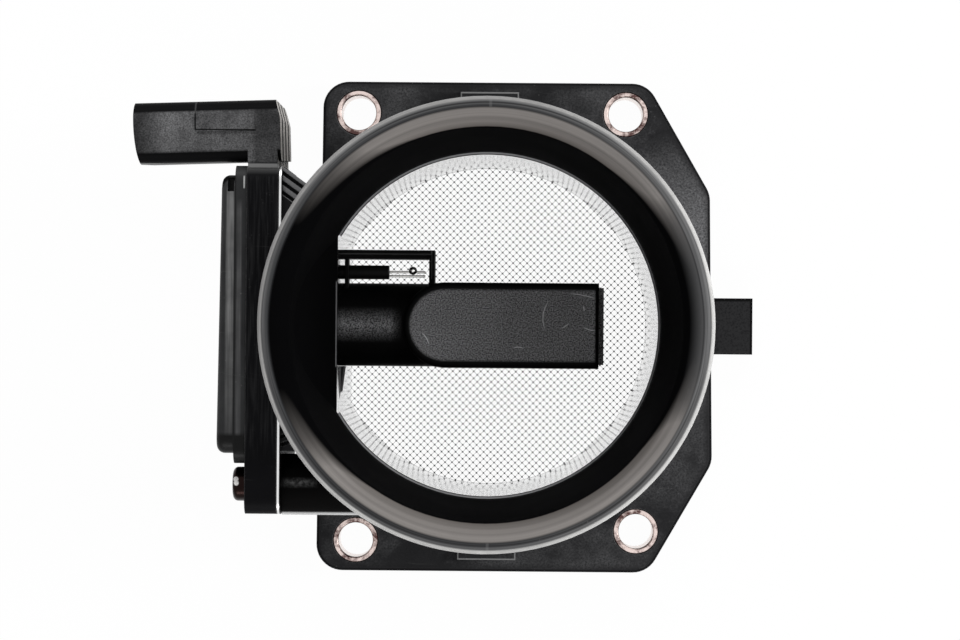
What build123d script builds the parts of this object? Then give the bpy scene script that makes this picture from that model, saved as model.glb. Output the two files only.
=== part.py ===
from build123d import *
import os
from math import cos, hypot, radians, tan

# Mass airflow sensor. The bore axis is Z and the flange's back face is z = 0.
# The hose mouth looks along +Z, the electronics module hangs on the -X side, +Y is up. Millimetres.

# Clearances
seat_gap = 0.05          # between a seated piece and its recess
press_gap = 0.02         # round a pressed sleeve or a screw's thread
screw_gap = 0.25         # round a screw's shank in a clearance hole
root_in = 2.0            # how far a rib or tube starts inside the wall it grows from

# Duct: the bore's radius and the duct's length set the rest
duct_length = 84.0
bore_r = 32.8
barrel_wall = 4.8
funnel_flare = 2.95      # how much wider the funnel would be if it ran on to the mouth
mouth_wall = 5.25        # from there to the spigot's outside
lip_r = 3.0              # rounding between the funnel and the mouth's end face
module_span = 41.0       # half of the rest of the length is the spigot's
shoulder_length = 2.5
throat_lead = 2.5        # the funnel starts this far before the spigot
rim_edge_r = 0.7

# Flat wall along the bore and the ramp from it to the mouth, on the module's side
flat_cut = 4.5           # how far the flat wall stands inside the bore's radius
ramp_lead = 2.5
ramp_rise = 8.0

# Flange
flange_t = 7.0
flange_left_inset = 2.7  # the barrel stands past the flange's left edge
flange_right_reach = 8.6
flange_top_reach = 12.9
flange_bottom_reach = 13.3
flange_cut_rise = 22.8   # height of each slanted right corner
flange_cut_angle = 30.0  # from the flange's straight right edge
flange_corner_r = 5.4
flange_edge_r = 0.8
flange_taper = 0.4       # of each side edge, out at the bottom and in at the top
tab_length = 8.8
tab_width = 11.7
tab_t = 4.0
tab_y = 0.3
gate_pad_width = 12.0
gate_pad_reach = 10.7
gate_pad_t = 2.0

# Flange sleeves, from the flange's edges: the lower right hole stands outside the others' rectangle
hole_left_inset = 7.8
hole_right_inset = 18.0
hole_top_inset = 6.5
hole_bottom_inset = 6.4
hole_odd_out = 2.7
hole_odd_up = 2.2
sleeve_bore_r = 3.56
sleeve_wall = 1.14
sleeve_chamfer = 0.3
sleeve_grooves = 24
sleeve_groove_depth = 0.2
sleeve_groove_width = 0.5
sleeve_collar = 0.7      # plain length before the grooves, at the flange's front

# Inlet end: register for the air box's neck, then the screen and its ring
register_wall = 2.2      # what the register leaves of the barrel
register_depth = 2.0
screen_step = 1.4
screen_depth = 3.0       # from the register to the seat
screen_t = 0.6
screen_pitch = 5.6
screen_bar = 1.5
screen_rim = 1.6

# Bypass arm, a cantilever across the bore
arm_height = 20.0
arm_width = 16.4
arm_wall = 1.8
arm_roof = 2.0
arm_edge_r = 1.1
arm_end_gap = 11.4       # from the arm's end to the bore's far wall
root_length = 20.3       # from the flat wall to the centre of the arm's round end
root_r = 8.05
root_seat = 1.2          # how deep the root tube sits in the flat wall
root_drop = 19.0         # of the tube's axis below the pad's upper end
cover_t = 1.6
cover_inset = 0.55
cover_lip = 1.65
inlet_r = 5.0
inlet_length = 4.5
inlet_lip_r = 1.6
inlet_round = 1.4        # of the bell mouth, less than its lip

# Guard round the air temperature sensor
guard_space = 6.2        # between the arm's side and the guard's outside
guard_bar = 1.7
guard_post = 1.1
guard_length = 18.1
guard_depth = 8.0
guard_web_gap = 0.65
guard_web_t = 0.75
guard_step = 0.9         # its inner half stands back by this
fin_length = 6.4
fin_t = 0.8
fin_depth = 6.0

# Air temperature sensor
stem_y = 10.15
stem_rise = 2.0          # over the root tube's axis
stem_r = 1.35
stem_length = 9.2        # inside the bore
stem_head_r = 2.2
stem_head_t = 2.0
lead_r = 0.23
lead_pitch = 0.8
lead_drop = 0.3
lead_length = 7.0
bead_reach = 4.6
bead_r = 0.8
bead_rise = 0.4          # its centre stands over the upper lead
bead_shift = 0.35

# Module pad on the body
pad_stand = 1.0          # how far the base plate's seat stands outside the barrel
pad_clear = 3.5          # from the pad to the spigot
pad_height = 35.0
pad_low_y = -24.0
pad_top_y = 29.6
pad_slope = 35.5         # of the pad's upper end, degrees
pad_run = 10.0           # how far the pad reaches into the barrel's wall
pad_rib = 0.7
pad_rib_count = 3
pad_rib_pitch = 1.5
pad_rib_depth = 0.6
low_rib_slope = 20.0     # of the ribs at the pad's lower end, degrees
low_rib_rise = 1.2       # of the lowest one over the pad's lower end

# Module
plate_t = 0.7
case_depth = 6.0
cover_rim_t = 2.2
cover_cap_t = 2.6        # at its upper end
cover_cap_rake = 0.7     # more at its lower end
case_over_low = 2.0      # how far the case reaches past the pad, below and above
case_over_high = 1.0
case_top_y = 29.8
case_low_y = -26.4
case_corner_r = 3.0
case_wall = 3.6
ledge = 1.3
board_seat = 3.0         # the ledge's height over the base plate
board_t = 1.0
chip_side = 9.0
chip_t = 1.6
chip_y = -12.0
chip_rise = 1.0
chip_pitch = 9.5
small_chip_y_side = 5.0
small_chip_z_side = 4.0
small_chip_t = 1.2
corner_chip_y = 14.5
corner_chip_drop = 8.0
cover_top_y = 28.0
cover_low_y = -24.5
cover_inset_z = 0.7
cover_edge_r = 1.5
cover_wall = 1.5
pocket_y = 24.8          # small recess in the cover's side
pocket_length = 2.6
pocket_width = 1.2
pocket_depth = 2.0
pocket_gap = 0.2

# Screws of the module, each on a lug with a round boss behind it
boss_r = 5.8
boss_length = 18.0
lower_screw_y = -30.5
lower_screw_drop = 7.5   # below the case's upper side
upper_screw_y = 22.0
upper_screw_drop = 5.5   # below the case's lower side
lug_margin = 5.4
screw_r = 1.9
screw_length = 15.0
screw_head_r = 3.25
screw_head_t = 2.7
screw_tip_gap = 1.0
drive_r = 1.5
drive_depth = 1.4
drive_lobe = 1.2
screw_head_round = 1.0

# Connector on the case
plug_tilt = 1.9          # the connector droops a little
plug_length = 26.8
plug_root_in = 0.9       # past the pad's face
plug_low_y = 30.6
plug_high_y = 42.2
plug_height = 26.0
plug_clear = 1.0         # below the case's upper side
plug_round = 2.8
plug_draft = 1.3         # how far the plug's lower side slants in, towards the flange
plug_draft_drop = 3.7    # where that begins, below the plug's front
plug_bulge = 0.2         # of the convex mouth end, past its upper corner
plug_rake = 0.9          # its lower corner stands back by this
plug_wall = 1.75
socket_depth = 17.0
nose_bulge = 0.8         # of the connector's root end, below its upper corner
nose_drop = 3.5
nose_grooves = 3
nose_groove_pitch = 7.0
nose_groove_width = 2.0
nose_groove_depth = 0.7
panel_start = 11.8       # from the connector's mouth
panel_length = 11.1
panel_low_y = 36.3
panel_t = 0.3
neck_length = 5.6        # of the neck between the case and the connector

# Terminals
terminal_count = 5
terminal_pitch = 4.2
terminal_t = 0.8
terminal_width = 1.5
terminal_inset = 6.5     # from the mouth of the socket to the blades' tips
terminal_foot_y = 22.6

# Sensor carrier and elements
carrier_r = 5.45
carrier_head_r = 7.2
carrier_head_t = 2.0
carrier_tip = 0.4        # how far the carrier stops short of the channel
ring_section_r = 0.65
ring_reach = 2.4         # from the pad's face to the O-ring
post_r = 0.3
post_spread_y = 2.5
post_spread_z = 1.8
post_tip = 1.2
element_r = 0.45
board_pin = 1.0          # how far wires stand out of the board

# Round the duct, from the values above
barrel_r = bore_r + barrel_wall
mouth_cone_r = bore_r + funnel_flare
spigot_r = mouth_cone_r + mouth_wall
register_r = barrel_r - register_wall
screen_recess_r = bore_r + screen_step
flange_left_x = barrel_r - flange_left_inset
flange_right_x = barrel_r + flange_right_reach
flange_top_y = barrel_r + flange_top_reach
flange_bottom_y = barrel_r + flange_bottom_reach
gate_pad_y = barrel_r + gate_pad_reach
sleeve_r = sleeve_bore_r + sleeve_wall
flat_x = bore_r - flat_cut
ramp_end_x = flat_x + ramp_rise
pad_x = -barrel_r - pad_stand

# Along the duct
spigot_length = (duct_length - module_span) / 2
spigot_start_z = duct_length - spigot_length
throat_z = spigot_start_z - throat_lead
ramp_start_z = throat_z - ramp_lead
ramp_end_z = duct_length - lip_r
screen_seat_z = register_depth + screen_depth
pad_high_z = spigot_start_z - pad_clear
pad_low_z = pad_high_z - pad_height
root_z = pad_high_z - root_drop
stem_z = root_z + stem_rise
arm_top_z = root_z + arm_height / 2
arm_floor_z = root_z - arm_height / 2
case_low_z = pad_low_z - case_over_low
case_high_z = pad_high_z + case_over_high
plug_high_z = case_high_z - plug_clear
plug_low_z = plug_high_z - plug_height

# The arm and what is in it
arm_half = arm_width / 2
arm_inner = arm_half - arm_wall
arm_end_x = bore_r - arm_end_gap
arm_nose_x = root_length - flat_x
cover_half = arm_half - cover_inset
guard_y = arm_half + guard_space
guard_end_x = guard_length - flat_x
guard_web_x = guard_web_gap - flat_x
stem_tip_x = stem_length - flat_x
lead_tip_x = stem_tip_x + lead_length
bead_x = stem_tip_x + bead_reach
probe_hole_r = carrier_r + seat_gap
carrier_tip_x = arm_nose_x - arm_inner - carrier_tip
ring_x = pad_x + ring_reach

# The module's layers and its connector
plate_x = pad_x - plate_t
case_x = plate_x - case_depth
rim_x = case_x - cover_rim_t
cap_x = rim_x - cover_cap_t
board_back_x = plate_x - board_seat
board_x = board_back_x - board_t
pin_x = board_x - board_pin
plug_root_x = pad_x - plug_root_in
plug_end_x = plug_root_x - plug_length
panel_left_x = plug_end_x + panel_start
panel_right_x = panel_left_x + panel_length
neck_left_x = plate_x - neck_length
plug_y = (plug_low_y + plug_high_y) / 2
socket_low_y = plug_low_y + plug_wall + plug_draft
socket_high_y = plug_high_y - plug_wall
blade_y = (socket_low_y + socket_high_y) / 2
plug_z = (plug_low_z + plug_high_z) / 2
window = (
    case_low_y + case_wall,
    case_top_y - case_wall - ledge,
    case_low_z + case_wall,
    case_high_z - case_wall,
)
screws = {
    "lower": (lower_screw_y, case_high_z - lower_screw_drop),
    "upper": (upper_screw_y, case_low_z - upper_screw_drop),
}
hole_left_x = hole_left_inset - flange_left_x
hole_right_x = flange_right_x - hole_right_inset
hole_top_y = flange_top_y - hole_top_inset
hole_bottom_y = hole_bottom_inset - flange_bottom_y
sleeves = {
    "upper_left": (hole_left_x, hole_top_y),
    "upper_right": (hole_right_x, hole_top_y),
    "lower_left": (hole_left_x, hole_bottom_y),
    "lower_right": (hole_right_x + hole_odd_out, hole_bottom_y + hole_odd_up),
}
plug_tilted = Pos(pin_x, terminal_foot_y, 0) * Rot(0, 0, plug_tilt) * Pos(-pin_x, -terminal_foot_y, 0)


# A box between two corners
def block(x_low, x_high, y_low, y_high, z_low, z_high):
    size = Box(x_high - x_low, y_high - y_low, z_high - z_low)
    return Pos((x_low + x_high) / 2, (y_low + y_high) / 2, (z_low + z_high) / 2) * size


# A round bar along X
def bar_x(r, x_low, x_high, y, z):
    return Pos((x_low + x_high) / 2, y, z) * Rot(0, 90, 0) * Cylinder(r, x_high - x_low)


# A YZ outline pushed along X
def slab_x(outline, x_low, x_high):
    return extrude(Plane.YZ.offset(x_low) * outline, x_high - x_low)


# A rounded rectangle between two corners of the YZ plane
def round_yz(y_low, y_high, z_low, z_high, r):
    outline = RectangleRounded(y_high - y_low, z_high - z_low, r)
    return Pos((y_low + y_high) / 2, (z_low + z_high) / 2) * outline


# A solid turned about Z from points (radius, height)
def turned(points):
    return revolve(Plane.XZ * make_face(Polyline(*points, close=True)), Axis.Z)


# A stadium open at +X: a half circle round (nose_x, 0) and two straight sides to end_x
def stadium(half, nose_x, end_x):
    middle = (nose_x + end_x) / 2
    return Pos(nose_x, 0) * Circle(half) + Pos(middle, 0) * Rectangle(end_x - nose_x, 2 * half)


def flange():
    cut_width = flange_cut_rise * tan(radians(flange_cut_angle))
    low_right_x = flange_right_x + flange_taper
    high_right_x = flange_right_x - flange_taper
    corners = [
        (-flange_left_x - flange_taper, -flange_bottom_y),
        (low_right_x - cut_width, -flange_bottom_y),
        (low_right_x, -flange_bottom_y + flange_cut_rise),
        (high_right_x, flange_top_y - flange_cut_rise),
        (high_right_x - cut_width, flange_top_y),
        (-flange_left_x + flange_taper, flange_top_y),
    ]
    outline = make_face(Polyline(*corners, close=True))
    outline = fillet(outline.vertices(), flange_corner_r)
    plate = extrude(outline, flange_t)
    return fillet(plate.faces().sort_by(Axis.Z)[-1].edges(), flange_edge_r)


def barrel():
    outer = turned([
        (0, 0),
        (barrel_r, 0),
        (barrel_r, spigot_start_z - shoulder_length),
        (spigot_r, spigot_start_z),
        (spigot_r, duct_length),
        (0, duct_length),
    ])
    return fillet(outer.edges().filter_by(GeomType.CIRCLE).sort_by(Axis.Z)[-1], rim_edge_r)


# The air's way through the body: funnel, round bore with one flat wall, and the seats at its inlet
def duct_space():
    over = duct_length + lip_r
    profile = make_face(Polyline(
        (0, throat_z),
        (bore_r, throat_z),
        (mouth_cone_r, duct_length),
        (spigot_r + lip_r, duct_length),
        (spigot_r + lip_r, over),
        (0, over),
        close=True,
    ))
    lip = profile.vertices().sort_by_distance(Vector(mouth_cone_r, duct_length, 0))[0]
    funnel = revolve(Plane.XZ * fillet(lip, lip_r), Axis.Z)
    bore = Pos(0, 0, throat_z / 2) * Cylinder(bore_r, throat_z)
    reach = spigot_r + lip_r
    wall = Plane.XZ.offset(-reach) * make_face(Polyline(
        (-reach, screen_seat_z),
        (-flat_x, screen_seat_z),
        (-flat_x, ramp_start_z),
        (-ramp_end_x, ramp_end_z),
        (-reach, ramp_end_z),
        close=True,
    ))
    seats = turned([
        (0, -1),
        (register_r, -1),
        (register_r, register_depth),
        (screen_recess_r, register_depth),
        (screen_recess_r, screen_seat_z),
        (0, screen_seat_z),
    ])
    return (funnel + bore - extrude(wall, 2 * reach)) + seats


# The pad that carries the module, with its sloped upper end and the ribs that follow the slope
def module_pad():
    drop = pad_run * tan(radians(pad_slope))
    outline = make_face(Polyline(
        (pad_x, pad_top_y),
        (pad_x + pad_run, pad_top_y - drop),
        (pad_x + pad_run, pad_low_y),
        (pad_x, pad_low_y),
        close=True,
    ))
    pad = Pos(0, 0, pad_low_z) * extrude(outline, pad_high_z - pad_low_z)
    across = cos(radians(pad_slope))
    for n in range(pad_rib_count):
        down = (pad_rib + n * pad_rib_pitch) / across
        groove = Rot(0, 0, -pad_slope) * Box(2 * pad_run, pad_rib, 2 * pad_rib_depth)
        pad -= Pos(pad_x, pad_top_y - down - pad_rib / 2, pad_high_z) * groove
        groove = Rot(0, 0, low_rib_slope) * Box(2 * pad_run, pad_rib, 2 * pad_rib_depth)
        pad -= Pos(pad_x, pad_low_y + low_rib_rise + n * pad_rib_pitch, pad_high_z) * groove
    for y, z in screws.values():
        pad += bar_x(boss_r, pad_x, pad_x + boss_length, y, z)
    return pad


def tab_and_gates():
    tab = block(
        flange_right_x - root_in, flange_right_x + tab_length,
        tab_y - tab_width / 2, tab_y + tab_width / 2,
        0, tab_t,
    )
    top = flange_t + gate_pad_t
    gates = block(-gate_pad_width / 2, gate_pad_width / 2, -gate_pad_y, gate_pad_y, flange_t / 2, top)
    return tab + gates


# The arm: root tube, trough with a round nose, open towards the cover and at its far end
def arm_trough():
    trough = extrude(stadium(arm_half, arm_nose_x, arm_end_x), arm_top_z - arm_floor_z)
    trough = Pos(0, 0, arm_floor_z) * trough
    trough = fillet(trough.faces().sort_by(Axis.Z)[-1].edges(), arm_edge_r)
    root = bar_x(root_r, -flat_x - root_seat, arm_nose_x, 0, root_z)
    space = stadium(arm_inner, arm_nose_x, arm_end_x + root_in)
    inside = extrude(space, arm_height - arm_roof + root_in)
    return trough + root - Pos(0, 0, arm_floor_z - root_in) * inside


# The guard round the air temperature sensor: a stepped bar, its end post and a web at the wall
def sensor_guard():
    low_z = stem_z - guard_depth / 2
    high_z = stem_z + guard_depth / 2
    bar = block(-flat_x, guard_end_x, guard_y - guard_bar, guard_y, low_z, high_z)
    post = block(guard_end_x - guard_post, guard_end_x, arm_half - arm_wall / 2, guard_y, low_z, high_z)
    web_low_z, web_high_z = stem_z - guard_depth / 4, stem_z + guard_depth / 4
    web = block(guard_web_x, guard_web_x + guard_web_t, root_r - arm_wall, guard_y, web_low_z, web_high_z)
    inner_y = guard_y - guard_bar / 2
    step = block(-flat_x, guard_end_x - guard_post / 2, arm_half, inner_y, high_z - guard_step, high_z + 1)
    return bar + post - step + web


def bypass_arm():
    arm = arm_trough() + sensor_guard()
    arm -= bar_x(probe_hole_r, -flat_x - 2 * root_seat, arm_nose_x - arm_inner + root_in, 0, root_z)
    return arm - bar_x(stem_r + seat_gap, -flat_x - 1, guard_web_x + 2 * guard_web_t, stem_y, stem_z)


# The small fin on the flat wall, on the other side of the root
def wall_fin():
    start = root_r + seat_gap
    fin = make_face(Polyline(
        (-flat_x, -start),
        (-flat_x + fin_t, -start),
        (-flat_x, -root_r - fin_length),
        (-flat_x - fin_t, -root_r - fin_length),
        (-flat_x - fin_t, -start),
        close=True,
    ))
    return Pos(0, 0, root_z) * extrude(fin, fin_depth)


def main_body():
    body = flange() + barrel() + module_pad() + tab_and_gates()
    body -= duct_space()
    body += wall_fin()
    body -= bar_x(probe_hole_r, pad_x - 1, -flat_x + 1, 0, root_z)
    body -= bar_x(root_r + seat_gap, -flat_x - root_seat, -flat_x + 1, 0, root_z)
    body -= bar_x(stem_r + seat_gap, pad_x - 1, -flat_x + 1, stem_y, stem_z)
    for y, z in screws.values():
        depth = screw_length - case_depth - plate_t + screw_tip_gap
        body -= bar_x(screw_r + press_gap, pad_x - 1, pad_x + depth, y, z)
    for x, y in sleeves.values():
        body -= Pos(x, y, flange_t / 2) * Cylinder(sleeve_r + press_gap, flange_t * 2)
    return body


# A pressed-in sleeve with knurl grooves down its outside
def flange_sleeve(x, y):
    sleeve = Cylinder(sleeve_r, flange_t) - Cylinder(sleeve_bore_r, flange_t * 2)
    inner = sleeve.edges().filter_by(GeomType.CIRCLE).sort_by(SortBy.RADIUS)[:2]
    sleeve = chamfer(inner, sleeve_chamfer)
    length = 2 * (flange_t - sleeve_collar)
    groove = Pos(0, 0, -flange_t / 2) * Box(2 * sleeve_groove_depth, sleeve_groove_width, length)
    sleeve -= PolarLocations(sleeve_r, sleeve_grooves) * groove
    return Pos(x, y, flange_t / 2) * sleeve


# The screen's coarse stand-in: one thin disc with diagonal gaps
def inlet_screen():
    disc_r = screen_recess_r - seat_gap
    disc = Pos(0, 0, screen_seat_z - screen_t / 2) * Cylinder(disc_r, screen_t)
    gap = screen_pitch - screen_bar
    keep = bore_r - screen_rim
    steps = int(bore_r / screen_pitch) + 1
    turn = Rot(0, 0, 45)
    gaps = []
    for i in range(-steps, steps + 1):
        for j in range(-steps, steps + 1):
            x, y = i * screen_pitch, j * screen_pitch
            far = hypot(abs(x) + gap / 2, abs(y) + gap / 2)
            left = (x - y) * cos(radians(45)) - gap * cos(radians(45))
            if far < keep and left > -flat_x:
                gaps.append(turn * Pos(x, y, screen_seat_z - screen_t / 2) * Box(gap, gap, 2 * screen_t))
    return disc - gaps


def screen_ring():
    low_z = register_depth + seat_gap
    height = screen_seat_z - screen_t - low_z
    ring = Cylinder(screen_recess_r - seat_gap, height) - Cylinder(bore_r, height * 2)
    return Pos(0, 0, low_z + height / 2) * ring


# Plate that closes the trough, with the bell-mouthed inlet under the arm's nose
def bypass_cover():
    plate = extrude(stadium(cover_half, arm_nose_x, arm_end_x + cover_lip), cover_t)
    outer = inlet_r + inlet_lip_r
    bell = turned([
        (0, -inlet_length),
        (outer, -inlet_length),
        (outer, cover_t / 2),
        (0, cover_t / 2),
    ])
    plate += Pos(arm_nose_x, 0, 0) * bell
    plate -= Pos(arm_nose_x, 0, 0) * Cylinder(inlet_r, 4 * (inlet_length + cover_t))
    mouth = plate.edges().filter_by(GeomType.CIRCLE).group_by(Axis.Z)[0].sort_by(SortBy.RADIUS)[0]
    plate = fillet(mouth, inlet_round)
    return Pos(0, 0, arm_floor_z - cover_t) * plate


# The outline shared by the case and the base plate: a rounded box and two screw lugs
def case_outline():
    outline = round_yz(case_low_y, case_top_y, case_low_z, case_high_z, case_corner_r)
    lower_y, lower_z = screws["lower"]
    lug_end_y = case_low_y + 2 * case_corner_r
    outline += round_yz(lower_y - lug_margin, lug_end_y, lower_z - lug_margin, case_high_z, case_corner_r)
    upper_y, upper_z = screws["upper"]
    lug_end_z = case_low_z + 2 * case_corner_r
    lug = round_yz(upper_y - lug_margin, upper_y + lug_margin, upper_z - lug_margin, lug_end_z, case_corner_r)
    return outline + lug


def screw_holes(x_low, x_high):
    return [bar_x(screw_r + screw_gap, x_low, x_high, y, z) for y, z in screws.values()]


def base_plate():
    plate = slab_x(case_outline(), plate_x, pad_x)
    plate -= screw_holes(plate_x - 1, pad_x + 1)
    plate -= bar_x(probe_hole_r, plate_x - 1, pad_x + 1, 0, root_z)
    return plate - bar_x(stem_r + seat_gap, plate_x - 1, pad_x + 1, stem_y, stem_z)


# The connector's closed outer form, before its socket is cut
def plug_form():
    upper = (plug_end_x + plug_bulge, plug_high_y)
    middle = (plug_end_x, plug_y + plug_bulge)
    lower = (plug_end_x + plug_rake, plug_low_y)
    root_high = (plug_root_x, plug_high_y)
    nose_high = (plug_root_x + nose_bulge, plug_high_y - nose_drop)
    nose_low = (plug_root_x + nose_bulge, plug_low_y)
    mouth = ThreePointArc(upper, middle, lower)
    outline = make_face(Line(root_high, upper) + mouth + Polyline(lower, nose_low, nose_high, root_high))
    form = Pos(0, 0, plug_low_z) * extrude(outline, plug_high_z - plug_low_z)
    form = fillet(form.edges().filter_by(Axis.X), plug_round)
    slant = make_face(Polyline(
        (plug_low_y, plug_high_z - plug_draft_drop),
        (plug_low_y + plug_draft, plug_low_z),
        (plug_low_y - 1, plug_low_z),
        (plug_low_y - 1, plug_high_z - plug_draft_drop),
        close=True,
    ))
    form -= slab_x(slant, plug_end_x - 1, plug_root_x + nose_bulge + 1)
    for n in range(nose_grooves):
        z = plug_z + (n - (nose_grooves - 1) / 2) * nose_groove_pitch
        form -= block(
            plug_root_x - nose_groove_depth, plug_root_x + 1,
            plug_low_y - 1, plug_high_y + 1,
            z - nose_groove_width / 2, z + nose_groove_width / 2,
        )
    panel_high_y = plug_high_y - plug_round
    form += block(panel_left_x, panel_right_x, panel_low_y, panel_high_y, plug_z, plug_high_z + panel_t)
    neck_low_y = case_top_y - case_corner_r
    return form + block(neck_left_x, plate_x, neck_low_y, plug_low_y + plug_round, plug_low_z, plug_high_z)


def plug_socket():
    hollow = round_yz(
        socket_low_y, socket_high_y,
        plug_low_z + plug_wall, plug_high_z - plug_wall,
        plug_round - 1,
    )
    return slab_x(hollow, plug_end_x - 2, plug_end_x + socket_depth)


# One terminal: a blade in the socket and a leg down to the board
def terminal(n):
    z = plug_z + (n - (terminal_count - 1) / 2) * terminal_pitch
    low_z, high_z = z - terminal_width / 2, z + terminal_width / 2
    tip_x = plug_end_x + terminal_inset
    blade = block(tip_x, board_x, blade_y - terminal_t / 2, blade_y + terminal_t / 2, low_z, high_z)
    leg = block(board_x - terminal_t, board_x, terminal_foot_y, blade_y + terminal_t / 2, low_z, high_z)
    return plug_tilted * blade + leg


def module_case():
    case = slab_x(case_outline(), case_x, plate_x)
    case += plug_tilted * plug_form()
    y_low, y_high, z_low, z_high = window
    corner = case_corner_r / 2
    case -= slab_x(round_yz(y_low, y_high, z_low, z_high, corner), case_x - 1, board_back_x)
    inner = round_yz(y_low + ledge, y_high - ledge, z_low + ledge, z_high - ledge, corner)
    case -= slab_x(inner, board_back_x - 1, plate_x + 1)
    case -= plug_tilted * plug_socket()
    case -= screw_holes(case_x - 1, plate_x + 1)
    return case - [terminal(n) for n in range(terminal_count)]


# The lid: a rim on the case and a smaller raked cap on the rim, hollow over the board
def module_cover():
    low_z = case_low_z + cover_inset_z
    high_z = case_high_z - cover_inset_z
    rim = slab_x(round_yz(case_low_y, case_top_y, low_z, high_z, case_corner_r), rim_x, case_x)
    low_cap_x = cap_x - cover_cap_rake
    cap = slab_x(round_yz(cover_low_y, cover_top_y, low_z, high_z, case_corner_r), low_cap_x, rim_x)
    wedge = make_face(Polyline(
        (rim_x, cover_low_y),
        (low_cap_x, cover_low_y),
        (cap_x, cover_top_y),
        (rim_x, cover_top_y),
        close=True,
    ))
    cap &= Pos(0, 0, low_z) * extrude(wedge, high_z - low_z)
    cap = fillet(cap.faces().sort_by(Axis.X)[0].edges(), cover_edge_r)
    pocket_x = rim_x - pocket_gap
    cap -= block(
        pocket_x - pocket_width, pocket_x,
        pocket_y, pocket_y + pocket_length,
        high_z - pocket_depth, high_z + 1,
    )
    y_low, y_high, z_low, z_high = window
    hollow = round_yz(y_low + ledge, y_high - ledge, z_low + ledge, z_high - ledge, case_corner_r / 2)
    return rim + cap - slab_x(hollow, cap_x + cover_wall, case_x + 1)


def board_pins():
    return [*post_bars(), *lead_bars()]


def circuit_board():
    y_low, y_high, z_low, z_high = window
    outline = round_yz(
        y_low + seat_gap, y_high - seat_gap, z_low + seat_gap, z_high - seat_gap, case_corner_r / 2
    )
    return slab_x(outline, board_x, board_back_x) - board_pins()


# Parts soldered on the board's outer face: y, z, width along Y, width along Z, height
def board_chips():
    chip_z = root_z + chip_rise
    small = (small_chip_y_side, small_chip_z_side, small_chip_t)
    chips = [
        (chip_y, chip_z, chip_side, chip_side, chip_t),
        (chip_y, chip_z + chip_pitch, *small),
        (chip_y, chip_z - chip_pitch, *small),
        (corner_chip_y, root_z - corner_chip_drop, *small),
    ]
    return Part(children=[
        block(board_x - high, board_x, y - wide / 2, y + wide / 2, z - deep / 2, z + deep / 2)
        for y, z, wide, deep, high in chips
    ])


def post_bars():
    tip_x = arm_nose_x + post_tip
    return [
        bar_x(post_r, pin_x, tip_x, side * post_spread_y, root_z + rise * post_spread_z)
        for side in (-1, 1)
        for rise in (-1, 1)
    ]


def lead_bars():
    ys = (stem_y + lead_pitch / 2 - lead_drop, stem_y - lead_pitch / 2 - lead_drop)
    return [bar_x(lead_r, pin_x, lead_tip_x, y, stem_z) for y in ys]


def sensor_carrier():
    carrier = bar_x(carrier_r, plate_x, carrier_tip_x, 0, root_z)
    carrier += bar_x(carrier_head_r, plate_x - carrier_head_t, plate_x, 0, root_z)
    groove_r = carrier_r - 2 * ring_section_r
    half = ring_section_r + seat_gap
    groove = bar_x(carrier_r + 1, ring_x - half, ring_x + half, 0, root_z)
    carrier -= groove - bar_x(groove_r, ring_x - half, ring_x + half, 0, root_z)
    return carrier - post_bars()


def carrier_o_ring():
    centre_r = carrier_r - ring_section_r + seat_gap / 2
    return Pos(ring_x, 0, root_z) * Rot(0, 90, 0) * Torus(centre_r, ring_section_r)


# A sensing element bridges its two posts, hot above cold
def element(rise):
    z = root_z + rise * post_spread_z
    rod = Pos(arm_nose_x, 0, z) * Rot(90, 0, 0) * Cylinder(element_r, 2 * post_spread_y)
    return rod - post_bars()


def air_temp_stem():
    stem = bar_x(stem_r, plate_x, stem_tip_x, stem_y, stem_z)
    stem += bar_x(stem_head_r, plate_x - stem_head_t, plate_x, stem_y, stem_z)
    return stem - lead_bars()


def thermistor_bead():
    bead = Pos(bead_x, stem_y + bead_shift, stem_z + bead_rise) * Sphere(bead_r)
    return bead - lead_bars()


# A pan head with a six-lobed socket, and a plain shank for the thread
def module_screw(y, z):
    head = bar_x(screw_head_r, case_x - screw_head_t, case_x, y, z)
    head = fillet(head.edges().filter_by(GeomType.CIRCLE).sort_by(Axis.X)[0], screw_head_round)
    shank = bar_x(screw_r, case_x, case_x + screw_length, y, z)
    lobe = Box(2 * drive_depth, 2 * drive_r, drive_lobe)
    drive = [Pos(case_x - screw_head_t, y, z) * Rot(60 * n, 0, 0) * lobe for n in range(3)]
    return head + shank - drive


def nodes():
    pieces = {
        "main_body": main_body(),
        "bypass_arm": bypass_arm(),
        "inlet_screen": inlet_screen(),
        "screen_retaining_ring": screen_ring(),
        "bypass_cover": bypass_cover(),
        "base_plate": base_plate(),
        "module_case": module_case(),
        "module_cover": module_cover(),
        "circuit_board": circuit_board(),
        "board_chips": board_chips(),
        "sensor_carrier": sensor_carrier(),
        "carrier_o_ring": carrier_o_ring(),
        "element_posts": Part(children=post_bars()),
        "hot_element": element(1),
        "cold_element": element(-1),
        "air_temp_stem": air_temp_stem(),
        "thermistor_leads": Part(children=lead_bars()),
        "thermistor_bead": thermistor_bead(),
    }
    for name, (x, y) in sleeves.items():
        pieces["flange_bushing_" + name] = flange_sleeve(x, y)
    for name, (y, z) in screws.items():
        pieces["module_screw_" + name] = module_screw(y, z)
    for n in range(terminal_count):
        pieces[f"connector_terminal_{n + 1}"] = terminal(n)
    return pieces


os.makedirs("parts", exist_ok=True)
for node, shape in nodes().items():
    export_step(shape, f"parts/{node}.step")
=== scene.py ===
import math

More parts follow.
